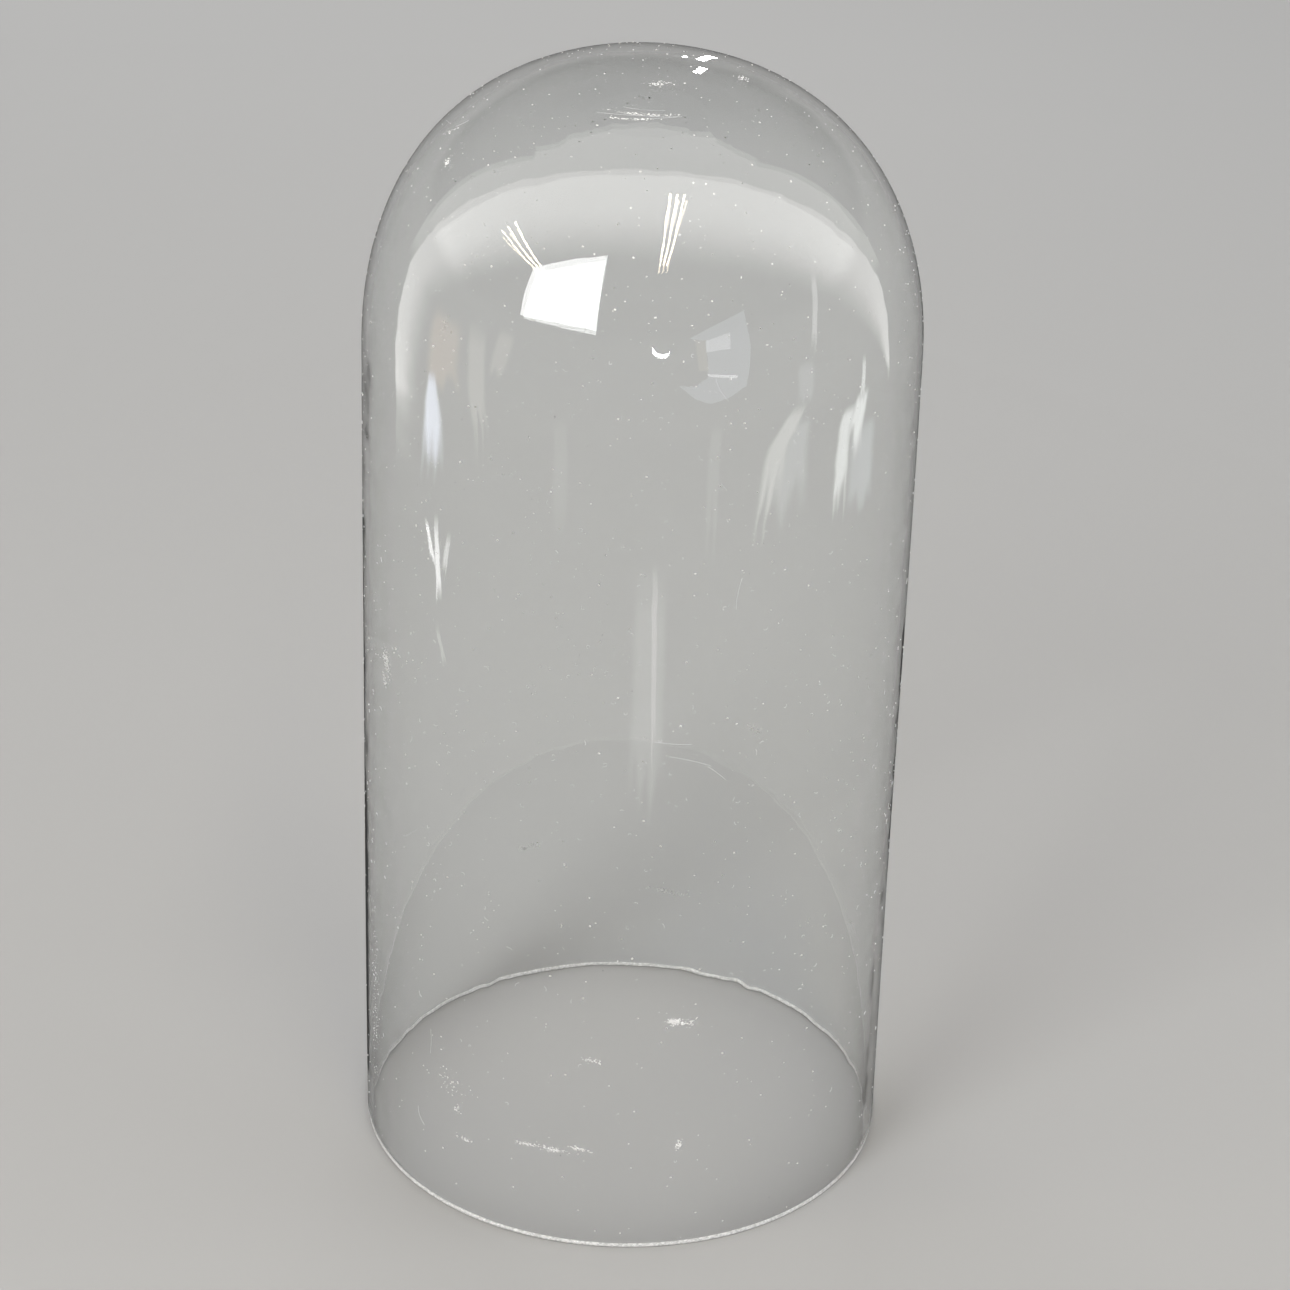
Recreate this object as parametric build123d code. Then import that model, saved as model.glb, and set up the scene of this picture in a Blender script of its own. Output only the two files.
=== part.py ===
from build123d import *

import os

# Blown glass cloche: a tall, straight-sided bell with a full, rounded crown and an open, ground foot.
# The whole object is one piece of glass. It is modelled in millimetres in its own frame, +Z up, with
# the origin at the centre of the open foot, on the plane that the bell stands on.

# Driving dimensions
outer_diameter = 200.0
overall_height = 426.0
crown_rise = 104.0  # from the top of the straight wall to the outside of the crown
wall_thickness = 2.2
crown_thickness = 3.2  # the glass gathers a little at the top of the bell

# Length of each crown curve's handles, as a share of its radius and of its rise. A quarter ellipse
# has 0.552, and more than that gives the fuller shoulder of a blown bell.
crown_fullness = 0.62

foot_arris = 0.5  # small round along both edges of the ground foot

# Worked out from them
outer_radius = outer_diameter / 2
inner_radius = outer_radius - wall_thickness
shoulder_height = overall_height - crown_rise
ceiling_height = overall_height - crown_thickness


def crown_curve(radius, top):
    """A quarter of the crown, from the straight wall at the shoulder to the axis at the top."""
    rise = top - shoulder_height
    return Bezier(
        (radius, shoulder_height),
        (radius, shoulder_height + crown_fullness * rise),
        (crown_fullness * radius, top),
        (0, top),
    )


def wall_section():
    """Half of the bell's cross-section, to the +X side of the axis, on the XZ plane."""
    with BuildSketch(Plane.XZ) as section:
        with BuildLine():
            Line((inner_radius, 0), (outer_radius, 0))
            Line((outer_radius, 0), (outer_radius, shoulder_height))
            crown_curve(outer_radius, overall_height)
            Line((0, overall_height), (0, ceiling_height))
            crown_curve(inner_radius, ceiling_height)
            Line((inner_radius, shoulder_height), (inner_radius, 0))
        make_face()
        foot_corners = section.vertices().sort_by(Axis.Z)[:2]
        fillet(foot_corners, foot_arris)
    return section.sketch


def glass_bell():
    """The one piece of glass: the section turned right round the axis."""
    bell = revolve(wall_section(), Axis.Z)
    bell.label = "glass_bell"
    return bell


os.makedirs("parts", exist_ok=True)
glass = glass_bell()
export_step(glass, "parts/glass_bell.step")
print("glass_bell: volume", round(glass.volume), "mm3, box", glass.bounding_box().size)
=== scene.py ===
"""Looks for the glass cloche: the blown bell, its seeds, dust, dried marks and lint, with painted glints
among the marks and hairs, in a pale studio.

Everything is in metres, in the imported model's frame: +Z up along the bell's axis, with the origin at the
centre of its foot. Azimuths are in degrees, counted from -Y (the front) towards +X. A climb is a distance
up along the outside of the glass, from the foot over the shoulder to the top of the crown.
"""

import math

import bpy
import numpy as np
from mathutils import Matrix, Vector
from mathutils.bvhtree import BVHTree

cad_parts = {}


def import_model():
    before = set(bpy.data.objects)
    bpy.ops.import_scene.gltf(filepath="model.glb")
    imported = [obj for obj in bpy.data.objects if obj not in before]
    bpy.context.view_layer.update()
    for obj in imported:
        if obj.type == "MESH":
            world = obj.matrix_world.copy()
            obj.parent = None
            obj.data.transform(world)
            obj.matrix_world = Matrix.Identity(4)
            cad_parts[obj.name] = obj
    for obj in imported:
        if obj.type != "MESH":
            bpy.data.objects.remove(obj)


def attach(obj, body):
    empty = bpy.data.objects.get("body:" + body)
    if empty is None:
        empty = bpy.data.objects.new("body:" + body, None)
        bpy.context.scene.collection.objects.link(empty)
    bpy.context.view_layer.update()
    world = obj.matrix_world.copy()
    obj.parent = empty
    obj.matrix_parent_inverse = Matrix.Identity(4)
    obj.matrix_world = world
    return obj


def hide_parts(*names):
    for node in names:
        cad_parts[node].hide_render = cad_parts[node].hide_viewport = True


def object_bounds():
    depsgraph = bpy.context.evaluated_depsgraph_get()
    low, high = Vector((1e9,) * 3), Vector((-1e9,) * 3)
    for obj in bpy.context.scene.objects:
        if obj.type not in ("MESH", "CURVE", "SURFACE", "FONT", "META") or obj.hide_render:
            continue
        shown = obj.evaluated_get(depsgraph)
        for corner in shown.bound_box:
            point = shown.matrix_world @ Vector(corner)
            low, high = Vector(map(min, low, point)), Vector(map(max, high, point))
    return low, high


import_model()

MM = 0.001

cad_low, cad_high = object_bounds()
outer_radius = (cad_high.x - cad_low.x) / 2
overall_height = cad_high.z

# The CAD bell's section, which the blown one stays inside
wall_thickness = 2.2 * MM
crown_thickness = 3.2 * MM
crown_rise = 104 * MM
crown_fullness = 0.62
foot_arris = 0.5 * MM
inner_radius = outer_radius - wall_thickness
shoulder_height = overall_height - crown_rise
ceiling_height = overall_height - crown_thickness

frost_height = 1.1 * MM  # how far up the wall the grinding of the foot has frosted the glass
crown_lean = -0.9 * MM  # how far the top of the crown has slumped sideways, along X
grain_room = 0.25 * MM  # the blown glass keeps this far inside the CAD bell, for the grains that lie on it

# Mesh: columns round the bell, then rows up the straight wall and over the crown on each face
around = 320
outer_rows = (100, 75)
inner_rows = (66, 56)
arris_rows = 4


# ---------------------------------------------------------------- meshes

def new_piece(name, verts, faces):
    """A smooth mesh object in the scene."""
    mesh = bpy.data.meshes.new(name)
    mesh.from_pydata(np.asarray(verts).tolist(), [], faces)
    mesh.shade_smooth()
    piece = bpy.data.objects.new(name, mesh)
    bpy.context.scene.collection.objects.link(piece)
    return piece


def joined(parts):
    """Vertices and faces of several meshes as one."""
    verts, faces = [], []
    for part_verts, part_faces in parts:
        start = len(verts)
        verts += part_verts
        faces += [tuple(start + v for v in face) for face in part_faces]
    return verts, faces


# ---------------------------------------------------------------- blown shape

def crown_curve(radius, top, t):
    """(r, z) along a crown's quarter curve: t is 0 at the shoulder and 1 at the top of the axis."""
    rise = top - shoulder_height
    early = 3 * (1 - t) ** 2 * t
    late = 3 * (1 - t) * t**2
    r = radius * ((1 - t) ** 3 + early + crown_fullness * late)
    z = shoulder_height + rise * (crown_fullness * early + late + t**3)
    return r, z


def side_profile(radius, top, rows):
    """(r, z) rows up one face of the wall, from just over the foot to the top of the axis."""
    wall_rows, crown_rows = rows
    over_frost = np.linspace(frost_height, shoulder_height, wall_rows - 1, endpoint=False)
    crown_r, crown_z = crown_curve(radius, top, np.linspace(0, 1, crown_rows + 1))
    r = np.concatenate([np.full(wall_rows, radius), crown_r])
    z = np.concatenate([[foot_arris], over_frost, crown_z])
    return r, z


def profile_normals(r, z):
    """Unit normals of a profile, away from the axis and up."""
    dr, dz = np.gradient(r), np.gradient(z)
    length = np.hypot(dr, dz)
    return dz / length, -dr / length


def turned(r, z, angles):
    """Rows x columns x 3: each (r, z) row turned round the axis."""
    x = np.outer(r, np.cos(angles))
    y = np.outer(r, np.sin(angles))
    return np.stack([x, y, np.repeat(z[:, None], len(angles), axis=1)], axis=-1)


def swell(points, seed, waves, wavelength, tall, height):
    """A smooth random relief of about that height: seeded sine waves, each stretched along Z by tall."""
    draw = np.random.default_rng(seed)
    total = np.zeros(points.shape[:-1])
    for _ in range(waves):
        direction = draw.normal(size=3)
        direction /= np.linalg.norm(direction)
        turns = direction / (1, 1, tall) / (wavelength * draw.uniform(0.7, 1.5))
        total += np.sin(2 * math.pi * (points @ turns + draw.random()))
    return height * total / math.sqrt(waves / 2)


# Sharp cords in the front of the wall, which break up the far rim behind them: azimuth and height
CORDS = ((-28, 110 * MM), (26, 110 * MM))
cord_half_width = 1.7  # degrees
cord_reach = 28 * MM  # how far above and below its height a cord has mostly faded
cord_relief = 0.07 * MM


def sharp_cords(points):
    """Narrow upright ridges, each of which fades out above and below its height."""
    azimuths = np.degrees(np.arctan2(points[..., 0], -points[..., 1]))
    total = np.zeros(azimuths.shape)
    for azimuth, height in CORDS:
        aside = (azimuths - azimuth) / cord_half_width
        along = (points[..., 2] - height) / cord_reach
        total += np.exp(-(aside**2) - along**2)
    return cord_relief * total


def body_swell(points):
    """The blown body's own slow swells, which both faces of the wall follow."""
    return swell(points, seed=3, waves=7, wavelength=190 * MM, tall=1.0, height=0.16 * MM)


def outer_relief(points):
    """The outside of a blown wall: long upright cords and a fine ripple over the body's swells."""
    cords = swell(points, seed=5, waves=9, wavelength=46 * MM, tall=5.0, height=0.02 * MM)
    ripple = swell(points, seed=7, waves=12, wavelength=13 * MM, tall=0.8, height=0.007 * MM)
    return body_swell(points) + cords + ripple


def inner_relief(points):
    """The inside: a slow drift in the wall's thickness, its own cords and ripple, and the sharp cords."""
    drift = swell(points, seed=11, waves=7, wavelength=230 * MM, tall=0.55, height=0.1 * MM)
    cords = swell(points, seed=13, waves=9, wavelength=38 * MM, tall=5.0, height=0.02 * MM)
    ripple = swell(points, seed=17, waves=12, wavelength=15 * MM, tall=0.8, height=0.006 * MM)
    return body_swell(points) + drift + cords + ripple + sharp_cords(points)


def blown_face(radius, top, relief, rows):
    """Rows of points up one face of the wall, moved in from the CAD face by its relief and grain_room."""
    r, z = side_profile(radius, top, rows)
    angles = np.linspace(0, 2 * math.pi, around, endpoint=False)
    points = turned(r, z, angles)
    normals = turned(*profile_normals(r, z), angles)
    normals[-1] = (0, 0, 1)
    height = relief(points)
    points = points + normals * (height - height.max() - grain_room)[..., None]
    share = np.clip((points[..., 2] - shoulder_height) / crown_rise, 0, 1)
    points[..., 0] += crown_lean * share**2
    return points


def foot_rows(inner_ring, outer_ring):
    """Rings across the ground foot, from the inner face round both arrises to the outer face."""
    inner_r = np.hypot(inner_ring[:, 0], inner_ring[:, 1])
    outer_r = np.hypot(outer_ring[:, 0], outer_ring[:, 1])
    outward = outer_ring[:, :2] / outer_r[:, None]
    quarter = np.linspace(0, math.pi / 2, arris_rows + 1)
    steps = [(inner_r, 1, a) for a in quarter] + [(outer_r, -1, a) for a in quarter[::-1]]
    rings = []
    for start, side, a in steps:
        r = start + side * foot_arris * (1 - math.cos(a))
        height = np.full((around, 1), foot_arris * (1 - math.sin(a)))
        rings.append(np.hstack([outward * r[:, None], height]))
    return rings


def blown_bell():
    """One closed shell, from the top of the inside down to the foot and back up over the crown."""
    outer = blown_face(outer_radius, overall_height, outer_relief, outer_rows)
    inner = blown_face(inner_radius, ceiling_height, inner_relief, inner_rows)
    rows = np.array(list(inner[-2:0:-1]) + foot_rows(inner[0], outer[0]) + list(outer[1:-1]))
    poles = [inner[-1, 0], outer[-1, 0]]
    inner_pole, outer_pole = len(rows) * around, len(rows) * around + 1

    faces = []
    for i in range(len(rows) - 1):
        for j in range(around):
            k = (j + 1) % around
            low, high = i * around, (i + 1) * around
            faces.append((low + j, low + k, high + k, high + j))
    last = (len(rows) - 1) * around
    for j in range(around):
        k = (j + 1) % around
        faces.append((k, j, inner_pole))
        faces.append((last + j, last + k, outer_pole))
    return new_piece("glass_bell_blown", np.concatenate([rows.reshape(-1, 3), poles]), faces)


# ---------------------------------------------------------------- things on and in the glass

bubble_count = 160
dust_count = 3200
curl_count = 420

# The smallest and the largest grain, and how far a grain stands off the glass, as a share of its length
dust_sizes = (0.25 * MM, 1.3 * MM)
dust_depth = 0.18
mark_grain_sizes = (0.35 * MM, 1.2 * MM)
mark_grain_depth = 0.12
small_bias = 2.2  # a higher power makes more of the grains small

dust_on_wall = 0.5  # how thickly dust lies on the wall, next to the crown's 1

hair_and_glint_thickness = 0.09 * MM
curl_thickness = 0.1 * MM


def climb_table():
    """Climb, radius and height up the outside of the CAD bell, finely spaced."""
    crown_r, crown_z = crown_curve(outer_radius, overall_height, np.linspace(0, 1, 400))
    r = np.append(outer_radius, crown_r)
    z = np.append(0, crown_z)
    climb = np.append(0, np.cumsum(np.hypot(np.diff(r), np.diff(z))))
    return climb, r, z


CLIMB, CLIMB_R, CLIMB_Z = climb_table()
full_climb = CLIMB[-1]


def place_on(tree, azimuth, climb):
    """A frame on the outside of the blown glass: its columns are sideways, upward and outward."""
    a = math.radians(azimuth)
    r, z = np.interp(climb, CLIMB, CLIMB_R), np.interp(climb, CLIMB, CLIMB_Z)
    point, normal, _, _ = tree.find_nearest(Vector((r * math.sin(a), -r * math.cos(a), z)))
    sideways = Vector((math.cos(a), math.sin(a), 0))
    sideways = (sideways - normal * sideways.dot(normal)).normalized()
    spot = Matrix((sideways, normal.cross(sideways), normal)).transposed().to_4x4()
    spot.translation = point
    return spot


FLAKE_FACES = [(0, 1, 4), (1, 2, 4), (2, 3, 4), (3, 0, 4), (1, 0, 5), (2, 1, 5), (3, 2, 5), (0, 3, 5)]


def flake(draw, spot, length, width, depth):
    """Vertices of one irregular grain lying on the glass, turned at random."""
    corner_level, sunk = 0.3, 0.2  # its corners' height and its sunk part, as shares of its depth
    turn = draw.uniform(0, 2 * math.pi)
    corners = []
    for k in range(4):
        a = turn + k * math.pi / 2 + draw.uniform(-0.5, 0.5)
        reach = draw.uniform(0.6, 1.0) / 2
        corners.append((length * reach * math.cos(a), width * reach * math.sin(a), depth * corner_level))
    corners.append((0, 0, depth))
    corners.append((0, 0, -depth * sunk))
    return [tuple(spot @ Vector(corner)) for corner in corners]


def grains(name, spots, draw, sizes, depth):
    """One piece made of a grain at each spot."""
    smallest, largest = sizes
    flakes = []
    for spot in spots:
        length = smallest + (largest - smallest) * draw.random() ** small_bias
        width = length * draw.uniform(0.45, 1.0)
        flakes.append((flake(draw, spot, length, width, length * depth), FLAKE_FACES))
    piece = new_piece(name, *joined(flakes))
    piece.data.shade_flat()
    return piece


def dust_spots(tree, draw, count):
    """Dust lies all over, and thickest on the crown; a row nearer the axis is shorter and takes less."""
    spots = []
    while len(spots) < count:
        climb = draw.uniform(2 * MM, full_climb)
        r = np.interp(climb, CLIMB, CLIMB_R)
        on_crown = climb > shoulder_height
        if draw.random() < r / outer_radius * (1.0 if on_crown else dust_on_wall):
            spots.append(place_on(tree, draw.uniform(0, 360), climb))
    return spots


# Dried marks and smudges, and one painted glint: azimuth, climb, width, height (mm), tilt (degrees) and
# grain count
MARKS_AND_GLINT = (
    (-80, 411, 7, 1.2, 50, 26),
    (-67, 404, 2.2, 3.2, 20, 40),
    (84, 453, 4, 3, -30, 40),
    (-62, 215, 4, 9, 12, 110),
    (-63, 207, 2, 5, 20, 40),
    # A painted glint: a dense cluster of white grains, with a faint halo of them round it
    (11, 99, 3, 1.6, 0, 220),
    (13, 98, 9, 3, 5, 60),
    (-6, 82, 5, 1.5, -8, 46),
    (-20, 41, 6, 1.3, 5, 80),
    (-14, 41, 9, 1.8, -4, 120),
    (-8, 43, 5, 1.3, -10, 60),
    (-35, 34, 5, 1.6, 0, 44),
    (-37, 46, 3, 3, 0, 30),
    (13, 45, 1.6, 3.2, -12, 44),
    (-39, 56, 14, 9, 0, 60),
    (8, 465, 6, 3, 0, 70),
    (-4, 446, 17, 1.0, -2, 90),
    (-8, 443, 12, 0.7, 3, 50),
    (150, 120, 5, 3, 20, 60),
    (205, 60, 9, 1.6, -10, 60),
    (110, 60, 8, 2, 6, 60),
    (-130, 300, 3, 7, 10, 60),
    (170, 36, 11, 1.6, 3, 90),
    (-70, 70, 8, 80, 0, 200),
)

# Hairs long enough to see one by one, and painted glints: azimuth, climb, length (mm), tilt and bend
# (degrees)
HAIRS_AND_GLINT_STROKES = (
    (20.5, 263, 12, 80, -20),
    (5, 214, 13, -6, 10),
    (8, 208, 16, -19, -14),
    (16, 203, 9, -43, -10),
    # Painted glints: white strokes across the top of the crown where reflections glint
    (-26, 444, 22, 2, -8),
    (-16, 446, 24, -3, 6),
    (-7, 443, 17, 5, -5),
    (-14, 449, 15, -2, 10),
    (-80, 413, 6, 60, 20),
    (-45, 64, 11, 90, 14),
    (-49, 37, 8, -55, 70),
    (160, 260, 10, 60, 40),
    (120, 170, 8, -20, 50),
    (-120, 90, 11, 15, 35),
)


def mark_and_glint_spots(tree, draw):
    """Spots scattered about the middle of each mark and of the painted glint, in its own tilt."""
    spots = []
    for azimuth, climb, width, height, tilt, count in MARKS_AND_GLINT:
        centre = place_on(tree, azimuth, climb * MM)
        swing = math.radians(tilt)
        for _ in range(count):
            u, v = draw.normal(size=2) * (width * MM / 3, height * MM / 3)
            side = u * math.cos(swing) - v * math.sin(swing)
            up = u * math.sin(swing) + v * math.cos(swing)
            guess = centre @ Vector((side, up, 0))
            turn = math.degrees(math.atan2(guess.x, -guess.y))
            spots.append(place_on(tree, turn, climb * MM + up))
    return spots


def thread(tree, azimuth, climb, length, tilt, bend, thickness, sides=4, steps=7):
    """Vertices and faces of one fibre that lies on the glass in an arc, which turns by bend degrees."""
    rings = []
    here = place_on(tree, azimuth, climb)
    side, up = 0.0, 0.0
    heading = math.radians(tilt - bend / 2)
    for _ in range(steps):
        guess = here @ Vector((side, up, 0))
        spot = place_on(tree, math.degrees(math.atan2(guess.x, -guess.y)), climb + up)
        across = Vector((-math.sin(heading), math.cos(heading), 0))
        ring = []
        for k in range(sides):
            a = 2 * math.pi * k / sides
            offset = across * (thickness / 2 * math.cos(a))
            offset.z = thickness / 2 * (1 + math.sin(a))
            ring.append(tuple(spot @ offset))
        rings.append(ring)
        side += length / (steps - 1) * math.cos(heading)
        up += length / (steps - 1) * math.sin(heading)
        heading += math.radians(bend) / (steps - 1)
    faces = [tuple(range(sides))[::-1]]
    for i in range(steps - 1):
        for k in range(sides):
            n = (k + 1) % sides
            faces.append((i * sides + k, i * sides + n, (i + 1) * sides + n, (i + 1) * sides + k))
    faces.append(tuple((steps - 1) * sides + k for k in range(sides)))
    return [vert for ring in rings for vert in ring], faces


def lint_and_glint_strokes(tree, draw, count):
    """The few long hairs, the white strokes of painted glints on the crown, and short curled fibres, most
    of them in a belt round the middle of the bell.
    """
    belt, spread = 185, 60  # the belt's climb and how far fibres stray from it, in mm
    threads = [
        thread(tree, azimuth, climb * MM, length * MM, tilt, bend, hair_and_glint_thickness)
        for azimuth, climb, length, tilt, bend in HAIRS_AND_GLINT_STROKES
    ]
    for _ in range(count):
        azimuth = draw.uniform(-180, 180)
        climb = np.clip(draw.normal(belt, spread), 8, 420) * MM
        bend = draw.uniform(60, 260) * draw.choice((-1, 1))
        length = draw.uniform(0.9, 2.6) * MM
        threads.append(thread(tree, azimuth, climb, length, draw.uniform(0, 360), bend, curl_thickness))
    return new_piece("lint_and_glint_strokes", *joined(threads))


def bubble(centre, turn, radius, tall, sides=8, bands=5):
    """Vertices and faces of one egg, which reaches tall above and below its centre along the turn's up."""
    offsets = []
    for i in range(bands):
        b = math.pi * (i + 1) / (bands + 1)
        ring = radius * math.sin(b)
        for j in range(sides):
            a = 2 * math.pi * j / sides
            offsets.append((ring * math.cos(a), tall * math.cos(b), ring * math.sin(a)))
    offsets += [(0, tall, 0), (0, -tall, 0)]
    top, bottom = bands * sides, bands * sides + 1
    last = (bands - 1) * sides
    faces = []
    for j in range(sides):
        k = (j + 1) % sides
        faces.append((j, top, k))
        for i in range(bands - 1):
            low, high = i * sides, (i + 1) * sides
            faces.append((low + j, low + k, high + k, high + j))
        faces.append((last + k, bottom, last + j))
    return [tuple(centre + turn @ Vector(offset)) for offset in offsets], faces


def seeds(tree, draw, count):
    """Small bubbles inside the wall, drawn out upward as the glass was blown."""
    bubbles = []
    for _ in range(count):
        climb = draw.uniform(10 * MM, full_climb - 10 * MM)
        spot = place_on(tree, draw.uniform(0, 360), climb)
        radius = draw.uniform(0.07, 0.16) * MM
        tall = radius * draw.uniform(1.2, 2.6)
        centre = spot @ Vector((0, 0, -draw.uniform(0.6, 1.0) * MM))
        bubbles.append(bubble(centre, spot.to_3x3(), radius, tall))
    return new_piece("seeds", *joined(bubbles))


# ---------------------------------------------------------------- materials

def new_material(name):
    """A material without nodes, and its lists of nodes and links."""
    material = bpy.data.materials.new(name)
    material.use_nodes = True
    tree = material.node_tree
    tree.nodes.clear()
    return material, tree.nodes, tree.links


def to_surface(nodes, links, shader):
    """Makes a shader the material's surface."""
    out = nodes.new("ShaderNodeOutputMaterial")
    links.new(shader.outputs[0], out.inputs["Surface"])


def mixed(nodes, links, share, first, second):
    """A mix of two shaders, where share is the second's part."""
    mix = nodes.new("ShaderNodeMixShader")
    links.new(share, mix.inputs[0])
    links.new(first.outputs[0], mix.inputs[1])
    links.new(second.outputs[0], mix.inputs[2])
    return mix


def grey(nodes, links, value):
    """A colour with the same value in its three channels."""
    colour = nodes.new("ShaderNodeCombineColor")
    for socket in colour.inputs[:3]:
        links.new(value, socket)
    return colour.outputs[0]


def noise(nodes, links, scale, detail=2.0, stretch=(1, 1, 1)):
    """Noise over the object's own coordinates, which stay put on the glass."""
    coords = nodes.new("ShaderNodeTexCoord")
    mapping = nodes.new("ShaderNodeMapping")
    mapping.inputs["Scale"].default_value = stretch
    texture = nodes.new("ShaderNodeTexNoise")
    texture.inputs["Scale"].default_value = scale
    texture.inputs["Detail"].default_value = detail
    links.new(coords.outputs["Object"], mapping.inputs["Vector"])
    links.new(mapping.outputs[0], texture.inputs["Vector"])
    return texture.outputs[0]


def ramp(nodes, links, value, low, high, start=0.0, end=1.0):
    """A smooth step from start to end as value goes from low to high."""
    node = nodes.new("ShaderNodeMapRange")
    node.interpolation_type = "SMOOTHSTEP"
    node.inputs["From Min"].default_value = low
    node.inputs["From Max"].default_value = high
    node.inputs["To Min"].default_value = start
    node.inputs["To Max"].default_value = end
    links.new(value, node.inputs["Value"])
    return node.outputs[0]


def arithmetic(nodes, links, operation, *terms):
    """The result of one operation on terms that are numbers or sockets."""
    node = nodes.new("ShaderNodeMath")
    node.operation = operation
    for socket, term in zip(node.inputs, terms):
        if isinstance(term, (int, float)):
            socket.default_value = term
        else:
            links.new(term, socket)
    return node.outputs[0]


def let_light_through(nodes, links, glass):
    """Lights shine straight through the glass, less so where they meet it edge on."""
    weight = nodes.new("ShaderNodeLayerWeight")
    weight.inputs["Blend"].default_value = 0.5
    shade = ramp(nodes, links, weight.outputs["Facing"], low=0.3, high=1.0, start=0.97, end=0.45)
    clear = nodes.new("ShaderNodeBsdfTransparent")
    links.new(grey(nodes, links, shade), clear.inputs["Color"])
    path = nodes.new("ShaderNodeLightPath")
    to_surface(nodes, links, mixed(nodes, links, path.outputs["Is Shadow Ray"], glass, clear))


def clear_glass():
    """Clear glass, faintly green, with a thin wiped film in upright streaks."""
    material, nodes, links = new_material("clear_glass")
    glass = nodes.new("ShaderNodeBsdfPrincipled")
    glass.inputs["Base Color"].default_value = (0.985, 0.993, 0.988, 1)
    glass.inputs["Transmission Weight"].default_value = 1.0
    glass.inputs["IOR"].default_value = 1.5
    film = noise(nodes, links, scale=16, detail=5, stretch=(1, 1, 0.35))
    smear = ramp(nodes, links, film, low=0.58, high=0.82, end=0.03)
    links.new(smear, glass.inputs["Roughness"])
    let_light_through(nodes, links, glass)
    return material


def ground_glass():
    """The foot's ground edge: frosted and whitish, with grinding marks."""
    material, nodes, links = new_material("ground_glass")
    frost = nodes.new("ShaderNodeBsdfPrincipled")
    frost.inputs["IOR"].default_value = 1.5
    grit = noise(nodes, links, scale=900, detail=3)
    tone = ramp(nodes, links, grit, low=0.3, high=0.7, start=0.6, end=0.92)
    roughness = ramp(nodes, links, grit, low=0.3, high=0.7, start=0.35, end=0.7)
    links.new(grey(nodes, links, tone), frost.inputs["Base Color"])
    links.new(roughness, frost.inputs["Roughness"])
    to_surface(nodes, links, frost)
    return material


def matte(name, dark, light, scale, roughness):
    """A dull material between two colours, mottled at that scale."""
    material, nodes, links = new_material(name)
    surface = nodes.new("ShaderNodeBsdfPrincipled")
    surface.inputs["Roughness"].default_value = roughness
    surface.inputs["Specular IOR Level"].default_value = 0.2
    mix = nodes.new("ShaderNodeMix")
    mix.data_type = "RGBA"
    mix.inputs["A"].default_value = (*dark, 1)
    mix.inputs["B"].default_value = (*light, 1)
    mottle = ramp(nodes, links, noise(nodes, links, scale), low=0.35, high=0.65)
    links.new(mottle, mix.inputs["Factor"])
    links.new(mix.outputs["Result"], surface.inputs["Base Color"])
    to_surface(nodes, links, surface)
    return material


# ---------------------------------------------------------------- the object

def mark_foot(bell, material):
    """Gives the ground foot and the frosted glass just over it their own material."""
    bell.data.materials.append(material)
    for face in bell.data.polygons:
        if face.center.z < frost_height:
            face.material_index = 1


def add_to_object(piece, material):
    """Gives a piece its material and fixes it to the bell."""
    piece.data.materials.append(material)
    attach(piece, "root")


def make_cloche():
    """The blown bell in place of the CAD one, with what is in it and on it."""
    bell = blown_bell()
    outside = BVHTree.FromPolygons(
        [v.co for v in bell.data.vertices], [tuple(f.vertices) for f in bell.data.polygons]
    )
    add_to_object(bell, clear_glass())
    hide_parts("glass_bell")
    mark_foot(bell, ground_glass())

    bubbles = seeds(outside, np.random.default_rng(31), bubble_count)
    add_to_object(bubbles, bell.data.materials[0])

    draw = np.random.default_rng(41)
    dust = grains("dust", dust_spots(outside, draw, dust_count), draw, dust_sizes, dust_depth)
    dust_grey = matte("dust_grey", (0.86, 0.85, 0.83), (0.97, 0.97, 0.97), scale=60, roughness=0.9)
    add_to_object(dust, dust_grey)

    draw = np.random.default_rng(43)
    # The dried marks, and white grains painted in as a glint
    marks = grains("dried_marks_and_glint", mark_and_glint_spots(outside, draw), draw, mark_grain_sizes, mark_grain_depth)
    mineral_white_and_glint = matte("mineral_white_and_glint", (0.8, 0.8, 0.8), (0.95, 0.95, 0.95), scale=300, roughness=0.7)
    add_to_object(marks, mineral_white_and_glint)

    # The lint, and white strokes painted in as glints
    fibres = lint_and_glint_strokes(outside, np.random.default_rng(47), curl_count)
    lint_and_glint_white = matte("lint_and_glint_white", (0.72, 0.74, 0.78), (0.93, 0.93, 0.95), scale=120, roughness=0.9)
    add_to_object(fibres, lint_and_glint_white)


# ---------------------------------------------------------------- studio

# The studio round the bell: its radiances, its faintly warm tint and the floor's reflectance
ceiling_radiance = 2.9
middle_radiance = 0.96
dark_radiance = 0.064
horizon_radiance = 0.5
tint = (1.0, 0.99, 0.97)
floor_reflectance = 0.38

floor_half = 20.0
floor_drop = 0.1 * MM  # how far the floor lies under the foot, so that the two don't meet
lit_floor = 0.8  # up to this distance from the origin the floor is only lit
far_floor = 3.5  # and from this distance it only glows


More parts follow.
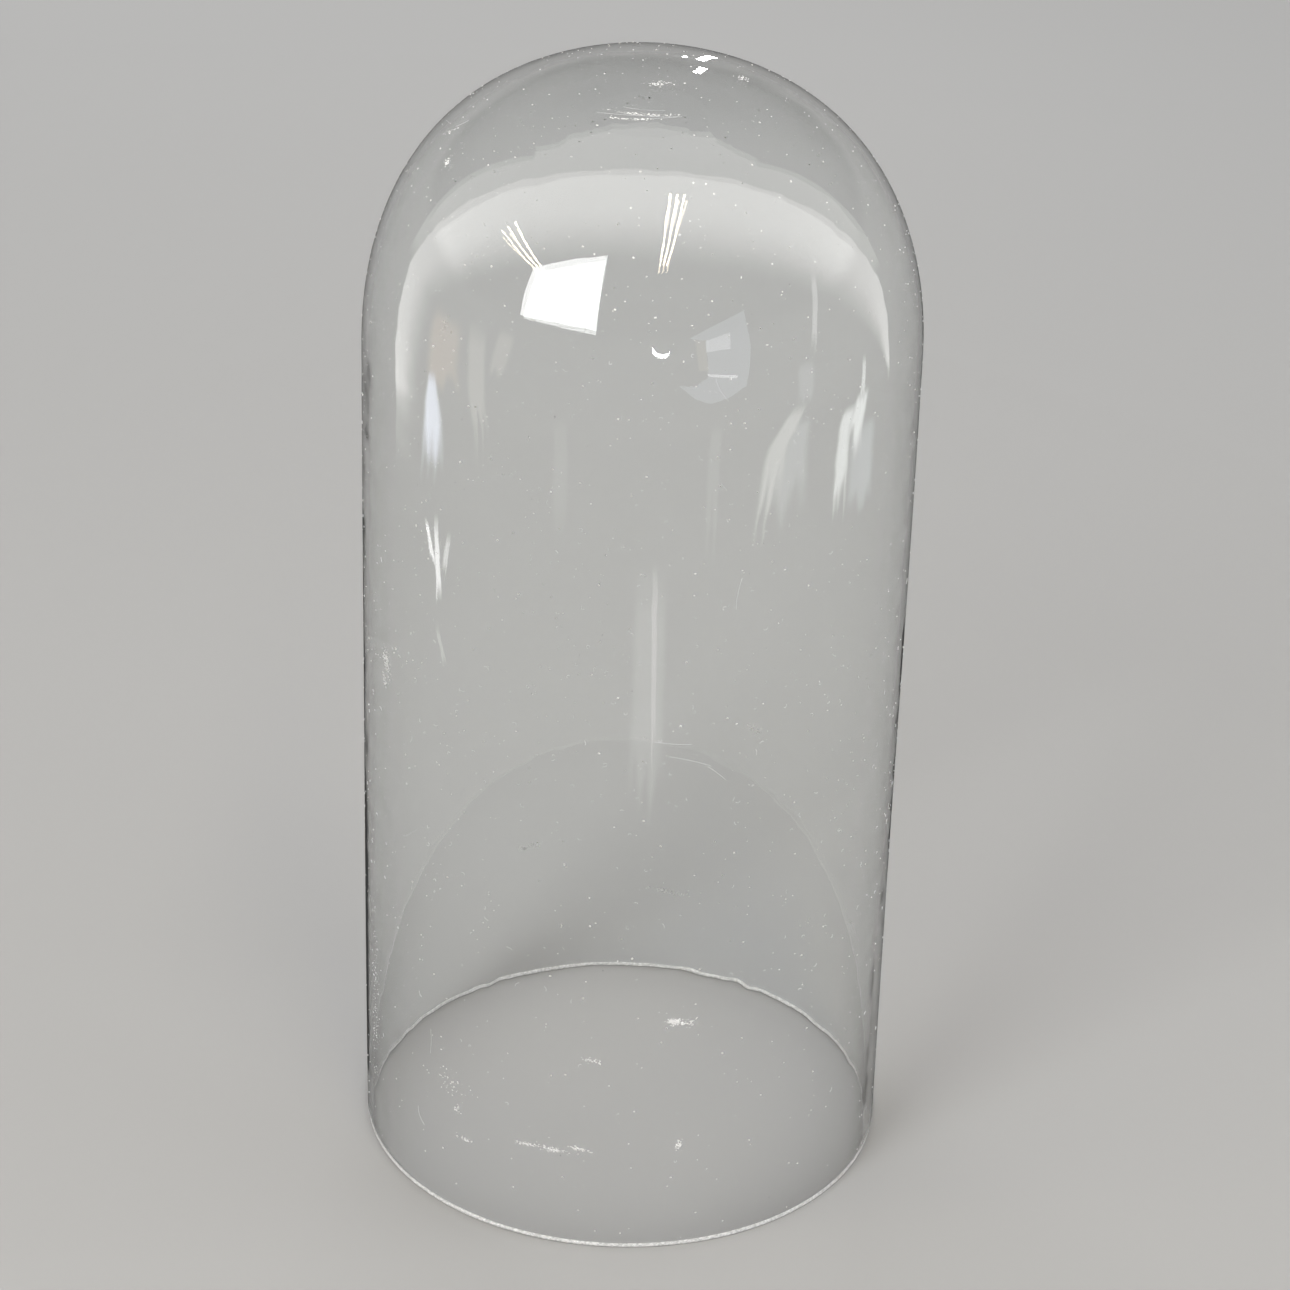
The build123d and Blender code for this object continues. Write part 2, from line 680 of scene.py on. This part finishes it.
def floor():
    """A pale floor whose far part glows as the world's horizon does, so that no edge shows."""
    signs = ((-1, -1), (1, -1), (1, 1), (-1, 1))
    corners = [(x * floor_half, y * floor_half, -floor_drop) for x, y in signs]
    ground = new_piece("floor", corners, [(0, 1, 2, 3)])
    material, nodes, links = new_material("pale_floor")
    dull = nodes.new("ShaderNodeBsdfDiffuse")
    dull.inputs["Color"].default_value = (floor_reflectance, floor_reflectance, floor_reflectance, 1)
    far = nodes.new("ShaderNodeEmission")
    far.inputs["Color"].default_value = (*tint, 1)
    far.inputs["Strength"].default_value = horizon_radiance
    place = nodes.new("ShaderNodeNewGeometry")
    distance = nodes.new("ShaderNodeVectorMath")
    distance.operation = "LENGTH"
    links.new(place.outputs["Position"], distance.inputs[0])
    farness = ramp(nodes, links, distance.outputs["Value"], low=lit_floor, high=far_floor)
    to_surface(nodes, links, mixed(nodes, links, farness, dull, far))
    material.cycles.emission_sampling = "NONE"
    ground.data.materials.append(material)
    ground.visible_glossy = False


def ceiling_glow(calc, step, x, y, z, grain):
    """How brightly the ceiling glows in a direction, and how far inside its edge the direction is.

    The ragged edge runs where y + edge * z equals edge. The glow fades inwards from it over a reach that is
    less the lower it is seen. Under the horizon the reach shrinks faster on the right than on the left, so
    that the glow comes to a point there. It ends a little over the floor.
    """
    edge, raggedness, edge_blur = 0.44, 0.05, 0.01
    full_part, dimmest = 0.25, 0.04  # it is full over this part of its reach, and then fades to this
    level_reach, reach_per_rise, least_reach = 0.38, 0.75, 0.02
    pointedness = 0.5  # how strongly the right side's reach shrinks under the horizon
    gone, whole, tilt = -0.38, -0.32, -0.05  # its lower end, which is lower on the left than on the right
    ragged = calc("MULTIPLY", calc("SUBTRACT", grain, 0.5), raggedness)
    climbing = calc("MULTIPLY", calc("MAXIMUM", z, 0), edge)
    inside = calc("SUBTRACT", edge, calc("ADD", calc("ADD", y, ragged), climbing))

    reach = calc("ADD", calc("MULTIPLY", z, reach_per_rise), level_reach)
    to_a_point = calc("MULTIPLY", calc("MULTIPLY", calc("MINIMUM", z, 0), x), pointedness)
    reach = calc("MAXIMUM", calc("ADD", reach, to_a_point), least_reach)
    glow_share = step(calc("DIVIDE", inside, reach), full_part, 1.0, start=1.0, end=dimmest)

    above_floor = step(calc("ADD", z, calc("MULTIPLY", x, tilt)), gone, whole)
    within = step(inside, -edge_blur, edge_blur)
    glow = calc("MULTIPLY", calc("MULTIPLY", glow_share, above_floor), within)
    return glow, inside


def backdrop_share(calc, step, x, y, z, grain):
    """1 where a direction meets the dark backdrop or lies under the horizon, and 0 elsewhere.

    The backdrop stands behind the bell, between two upright sides. Its ragged top dips in the middle, so
    that the paler area over it has a peak like a tent's where the crown reflects it.
    """
    top_rise, top_dip, raggedness = 1.96, 0.5, 0.5  # the top rises backwards and to both sides
    half_width, side_blur = 1.8, 0.02
    horizon_blur = 0.1
    aside = calc("ABSOLUTE", x)
    shreds = calc("MULTIPLY", calc("SUBTRACT", grain, 0.5), raggedness)
    dip = calc("SUBTRACT", calc("MULTIPLY", aside, top_dip), shreds)
    under_top = step(calc("SUBTRACT", calc("ADD", calc("MULTIPLY", y, top_rise), dip), z), 0.03, 0.07)
    room_aside = calc("SUBTRACT", calc("MULTIPLY", y, half_width), aside)
    between_sides = step(room_aside, -side_blur, side_blur)
    return calc("MAXIMUM", calc("MULTIPLY", under_top, between_sides), step(z, horizon_blur, 0.0))


def world():
    """A bright ceiling over and in front of the bell, a dark backdrop behind it and a pale horizon.

    Between the ceiling's edge and the backdrop lies a paler area of middle brightness. Low down, the
    horizon is seen straight or through the glass, while reflections see the dark room instead, as with
    black cards round a glass.
    """
    horizon_top = (0.16, 0.28)  # between these heights the horizon gives way to the room
    studio = bpy.data.worlds.new("studio")
    bpy.context.scene.world = studio
    studio.use_nodes = True
    studio.node_tree.nodes.clear()
    studio.cycles_visibility.diffuse = False
    nodes, links = studio.node_tree.nodes, studio.node_tree.links

    def calc(operation, *terms):
        return arithmetic(nodes, links, operation, *terms)

    def step(value, low, high, start=0.0, end=1.0):
        return ramp(nodes, links, value, low, high, start, end)

    coords = nodes.new("ShaderNodeTexCoord")
    split = nodes.new("ShaderNodeSeparateXYZ")
    links.new(coords.outputs["Generated"], split.inputs[0])
    x, y, z = split.outputs
    grain = nodes.new("ShaderNodeTexNoise")
    grain.inputs["Scale"].default_value = 9
    grain.inputs["Detail"].default_value = 4
    links.new(coords.outputs["Generated"], grain.inputs["Vector"])

    ceiling, inside = ceiling_glow(calc, step, x, y, z, grain.outputs[0])
    backdrop = backdrop_share(calc, step, x, y, z, grain.outputs[0])
    middle = calc("MULTIPLY", step(inside, 0.01, -0.01), calc("SUBTRACT", 1.0, backdrop))
    ceiling_part = calc("MULTIPLY", ceiling, ceiling_radiance)
    middle_part = calc("MULTIPLY", middle, middle_radiance)
    room = calc("ADD", calc("ADD", ceiling_part, middle_part), dark_radiance)

    path = nodes.new("ShaderNodeLightPath")
    shown = calc("MAXIMUM", step(z, *horizon_top), path.outputs["Is Reflection Ray"])
    pale = calc("MULTIPLY", calc("SUBTRACT", 1.0, shown), horizon_radiance)
    shade = nodes.new("ShaderNodeBackground")
    shade.inputs["Color"].default_value = (*tint, 1)
    links.new(calc("ADD", calc("MULTIPLY", room, shown), pale), shade.inputs["Strength"])
    out = nodes.new("ShaderNodeOutputWorld")
    links.new(shade.outputs[0], out.inputs["Surface"])


def panel_light(name, place, facing, width, height, radiance, colour=(1, 1, 1)):
    """A rectangular light of one radiance, which faces along a direction with its width level."""
    light = bpy.data.lights.new(name, "AREA")
    light.shape = "RECTANGLE"
    light.size, light.size_y = width, height
    light.energy = radiance * math.pi * width * height
    light.color = colour
    obj = bpy.data.objects.new(name, light)
    bpy.context.scene.collection.objects.link(obj)
    obj.location = place
    obj.rotation_euler = Vector(facing).to_track_quat("-Z", "Y").to_euler()
    obj.visible_camera = False
    return obj


tube_radiance = 36
tube_colour = (1.0, 0.88, 0.68)


def batten(name, x, y_near, y_far, height, near_gap, far_gap, thickness):
    """A ceiling fitting with three slim, warm tubes along Y, which may fan out towards its near end."""
    length = y_near - y_far
    for k in (-1, 0, 1):
        place = (x + k * (near_gap + far_gap) / 2, (y_near + y_far) / 2, height)
        tube = panel_light(
            f"{name}_{k + 2}", place, (0, 0, -1), thickness, length, tube_radiance, tube_colour
        )
        tube.rotation_euler = (0, 0, -math.atan2(k * (near_gap - far_gap), length))


def soft_fills():
    """An even overhead fill, a far key and two weaker panels, which light the floor and the dust.

    They show neither in reflections nor through the glass.
    """
    fills = (
        panel_light("overhead_fill", (0, 0.3, 2.4), (0, 0, -1), 9.0, 9.0, 0.5),
        panel_light("far_key", (-1.7, -2.5, 2.7), (1.7, 2.5, -2.6), 1.2, 1.2, 20),
        panel_light("right_fill", (3.2, -0.9, 1.5), (-3.2, 0.9, -1.3), 2.4, 2.4, 3.5),
        panel_light("rear_fill", (-0.9, 3.2, 1.5), (0.9, -3.2, -1.3), 2.4, 2.4, 3.5),
    )
    for fill in fills:
        fill.data.cycles.use_multiple_importance_sampling = False
        fill.visible_glossy = False
        fill.visible_transmission = False


def only_in_reflections(card):
    """Hides a glowing mesh from everything but reflections."""
    card.visible_camera = False
    card.visible_diffuse = False
    card.visible_transmission = False
    card.visible_shadow = False


def light_card(name, verts, faces, radiance, colour=(1, 1, 1)):
    """A glowing mesh of one radiance, seen only in reflections."""
    card = new_piece(name, verts, faces)
    material, nodes, links = new_material(name)
    shine = nodes.new("ShaderNodeEmission")
    shine.inputs["Color"].default_value = (*colour, 1)
    shine.inputs["Strength"].default_value = radiance
    to_surface(nodes, links, shine)
    material.cycles.emission_sampling = "NONE"
    card.data.materials.append(material)
    only_in_reflections(card)
    return card


def upright_card(name, middle, facing, outline, radiance, colour=(1, 1, 1)):
    """A glowing card that faces along a level direction, outlined across and up from its middle."""
    across = Vector((0, 0, 1)).cross(facing)
    verts = [middle + across * u + Vector((0, 0, v)) for u, v in outline]
    return light_card(name, verts, [tuple(range(len(outline)))], radiance, colour)


def softbox():
    """The main light, up to the left of the camera, which both faces of the wall reflect."""
    middle = Vector((-0.92, -1.13, 1.04))
    facing = Vector((0, 1, 0))
    outline = ((0.53, 0.35), (-0.51, 0.44), (-0.54, -0.41), (0.46, -0.31))
    card = upright_card("softbox", middle, facing, outline, radiance=12)
    card.visible_transmission = True  # what the inner face reflects leaves through the outer one


# The window's cards: name, radiance, colour and outline (metres across and up from the window's middle)
WINDOW_CARDS = (
    ("window", 2.0, (0.8, 0.86, 1.0), (
        (0.49, 0.26), (0.22, 0.32), (-0.25, 0.39), (-0.26, 0.0), (-0.2, -0.29), (-0.01, -0.38),
        (0.2, -0.41), (0.44, -0.37), (0.65, -0.25), (0.41, -0.25), (0.27, -0.19), (0.25, 0.05),
        (0.27, 0.19),
    )),
    ("window_frame", 1.1, (1.0, 0.82, 0.62), ((0.41, 0.22), (0.27, 0.2), (0.25, -0.12), (0.38, -0.12))),
    ("window_pane", 4.5, (0.9, 0.94, 1.0), ((0.26, 0.19), (-0.04, 0.2), (-0.03, 0.05), (0.26, 0.06))),
    ("window_sill", 6.0, (0.95, 0.97, 1.0), ((0.25, -0.15), (-0.1, -0.185), (-0.1, -0.21), (0.25, -0.175))),
)
window_spacing = 0.01  # how far each card stands in front of the one before


def window():
    """A cool window to the right of the camera, with a warm frame and a brighter pane and sill."""
    middle = Vector((0.88, -1.32, 0.47))
    facing = Vector((-0.77, 0.63, 0)).normalized()
    for k, (name, radiance, colour, outline) in enumerate(WINDOW_CARDS):
        upright_card(name, middle + facing * (window_spacing * k), facing, outline, radiance, colour)


# Small far lamps behind the bell: place, width and height
BACK_GLINTS = (
    ((0.14, 1.50, 0.62), 0.026, 0.22),
    ((0.17, 1.38, 0.97), 0.032, 0.14),
    ((0.09, 1.48, 0.70), 0.014, 0.05),
)


def back_glints():
    """The lamps behind face the crown and glint at its top, but don't show through the glass."""
    crown_level = 0.4
    for k, ((x, y, z), width, height) in enumerate(BACK_GLINTS):
        facing = (-x, -y, crown_level - z)
        lamp = panel_light(f"back_glint_{k + 1}", (x, y, z), facing, width, height, radiance=30)
        lamp.visible_transmission = False


def crescent():
    """A flattened half-ring lamp by the camera, open at the top and thickest at the bottom."""
    centre = Vector((0.176, -1.37, 0.535))
    radius, thickest, at_tips = 0.085, 0.05, 0.006
    first, sweep = 150, 215  # degrees
    flatness = 0.7
    steps = 28
    verts, faces = [], []
    for k in range(steps + 1):
        a = math.radians(first + sweep * k / steps)
        thick = thickest * math.sin(math.pi * k / steps) + at_tips
        for reach in (radius, radius - thick):
            verts.append(tuple(centre + Vector((reach * math.cos(a), 0, flatness * reach * math.sin(a)))))
    for k in range(steps):
        faces.append((2 * k, 2 * k + 1, 2 * k + 3, 2 * k + 2))
    light_card("crescent_lamp", verts, faces, radiance=25)


def battens():
    """Two ceiling fittings, one nearly overhead and one far to the left."""
    ceiling = 2.0
    batten("right_batten", 0.325, -0.4, -1.88, ceiling, near_gap=0.078, far_gap=0.06, thickness=0.022)
    batten("left_batten", -2.18, -0.5, -1.85, ceiling, near_gap=0.24, far_gap=0.1, thickness=0.042)


def lights():
    softbox()
    battens()
    window()
    back_glints()
    crescent()
    soft_fills()


# Soft upright glows round the bell: azimuth, half-width (degrees), lowest and highest point (m), taper
# (how much narrower its top is), radiance, colour and, where it leans, how far its top is turned from
# its bottom (degrees). Each stands a little nearer than the one before and covers it where they overlap.
GLOWS = (
    (-77, 10, 0.19, 0.37, 0.1, 1.6, (1.0, 0.68, 0.45)),
    (-83, 8, 0.112, 0.242, 0.8, 6.5, (0.8, 0.86, 1.0), 2),
    (-84, 1.8, 0.078, 0.104, 0.3, 7.0, (1, 1, 1), -6),
    (-80, 1.8, 0.06, 0.108, 0.3, 7.0, (1, 1, 1), -2),
    (-76, 1.6, 0.078, 0.104, 0.3, 4.0, (1, 1, 1), 3),
    (-78, 1.5, 0.03, 0.055, 0.2, 1.5, (1, 1, 1), -4),
    (-61, 5, 0.13, 0.39, 0.0, 1.7, (1.0, 0.95, 0.88), -3),
    (-51, 4, 0.27, 0.4, 0.0, 1.4, (1.0, 0.92, 0.84), 3),
    (-28, 4, 0.1, 0.24, 0.3, 0.6, (1, 1, 1)),
    (6, 8, -0.03, 0.115, 0.2, 1.2, (1, 1, 1)),
    (8, 1.2, -0.01, 0.118, 0.0, 3.0, (1, 1, 1), -2),
    (27, 3, 0.1, 0.24, 0.2, 0.7, (1, 1, 1)),
    (58, 10, 0.112, 0.215, 0.5, 1.7, (0.9, 0.95, 1.0), 4),
    (53, 6.5, 0.112, 0.245, 0.5, 3.4, (0.97, 1.0, 0.95), 14),
    (61, 4, 0.22, 0.33, 0.0, 1.4, (0.9, 0.92, 1.0)),
    (68, 1.6, 0.3, 0.52, 0.0, 3.2, (1, 1, 1), 12),
    (92, 9, 0.11, 0.165, 0.0, 1.4, (0.85, 0.93, 1.0)),
    (81, 4.5, 0.112, 0.205, 0.2, 5.0, (0.95, 0.99, 0.97), 4),
    (88, 5.5, 0.14, 0.22, 0.3, 5.0, (0.95, 0.99, 0.97), 3),
    (89, 1.8, 0.19, 0.28, 0.4, 4.0, (0.95, 0.99, 0.97)),
)
farthest_glow = 0.45
glow_spacing = 1 * MM

glow_columns = 24
glow_rows = 24

# How a glow fades, as shares of its half-width or its height. Its lower edge is ragged: each column's glow
# starts at a height of its own, drawn anew every few columns.
side_fade = 0.5
top_fade = 0.25
bottom_fade = 0.2
highest_start = 0.225
ragged_every = 3


def smooth_step(value, low, high):
    share = min(max((value - low) / (high - low), 0), 1)
    return share * share * (3 - 2 * share)


def glow_card(distance, azimuth, half_width, low, high, taper, lean):
    """Vertices and faces of an upright card round the bell, and how strongly each vertex shines."""
    draw = np.random.default_rng(round(azimuth) + 200)
    columns = np.arange(glow_columns + 1)
    drawn_starts = draw.uniform(0, highest_start, glow_columns // ragged_every + 1)
    starts = np.interp(columns, columns[::ragged_every], drawn_starts)
    verts, strengths = [], []
    for i in range(glow_rows + 1):
        share = i / glow_rows
        room = 1 - taper * share
        for j in columns:
            side = 2 * j / glow_columns - 1
            a = math.radians(azimuth + half_width * side + lean * (share - 0.5))
            verts.append((distance * math.sin(a), -distance * math.cos(a), low + (high - low) * share))
            across = smooth_step(1 - abs(side) / room, 0, side_fade)
            from_bottom = smooth_step(share, starts[j], starts[j] + bottom_fade)
            from_top = smooth_step(1 - share, 0, top_fade)
            strengths.append(across * (from_bottom * from_top))
    faces = []
    for i in range(glow_rows):
        for j in range(glow_columns):
            corner = i * (glow_columns + 1) + j
            faces.append((corner, corner + 1, corner + glow_columns + 2, corner + glow_columns + 1))
    return verts, faces, strengths


def glow(name, distance, azimuth, half_width, low, high, taper, radiance, colour, lean=0):
    """A card that fades out at its edges, seen only in reflections."""
    verts, faces, strengths = glow_card(distance, azimuth, half_width, low, high, taper, lean)
    card = new_piece(name, verts, faces)
    shades = [channel for strength in strengths for channel in (*colour, strength)]
    card.data.color_attributes.new("glow", "FLOAT_COLOR", "POINT").data.foreach_set("color", shades)
    material, nodes, links = new_material(name)
    paint = nodes.new("ShaderNodeVertexColor")
    paint.layer_name = "glow"
    shine = nodes.new("ShaderNodeEmission")
    shine.inputs["Strength"].default_value = radiance
    links.new(paint.outputs["Color"], shine.inputs["Color"])
    clear = nodes.new("ShaderNodeBsdfTransparent")
    to_surface(nodes, links, mixed(nodes, links, paint.outputs["Alpha"], clear, shine))
    material.cycles.emission_sampling = "NONE"
    card.data.materials.append(material)
    only_in_reflections(card)


def glows():
    for k, settings in enumerate(GLOWS):
        glow(f"glow_{k + 1}", farthest_glow - k * glow_spacing, *settings)


def camera():
    """A long lens that looks down on the bell from the front; its place and aim are in outer radii."""
    data = bpy.data.cameras.new("camera")
    data.lens = 102.8
    data.sensor_width = 36
    data.clip_start, data.clip_end = 0.05, 100
    view = bpy.data.objects.new("camera", data)
    bpy.context.scene.collection.objects.link(view)
    place = Vector((0.042, -12.112, 8.262)) * outer_radius
    aim = Vector((0.042, 0, 2.005)) * outer_radius
    roll = Matrix.Rotation(math.radians(1.81), 3, "Z").to_quaternion()
    view.matrix_world = Matrix.LocRotScale(place, (aim - place).to_track_quat("-Z", "Y") @ roll, None)
    bpy.context.scene.camera = view


def light_bounces():
    """Enough bounces for both faces of the wall, front and back, with no caustics."""
    scene = bpy.context.scene
    scene.view_settings.view_transform = "Standard"
    scene.cycles.max_bounces = 24
    scene.cycles.glossy_bounces = 16
    scene.cycles.transmission_bounces = 24
    scene.cycles.transparent_max_bounces = 24
    scene.cycles.caustics_reflective = False
    scene.cycles.caustics_refractive = False


make_cloche()
floor()
world()
lights()
glows()
camera()
light_bounces()
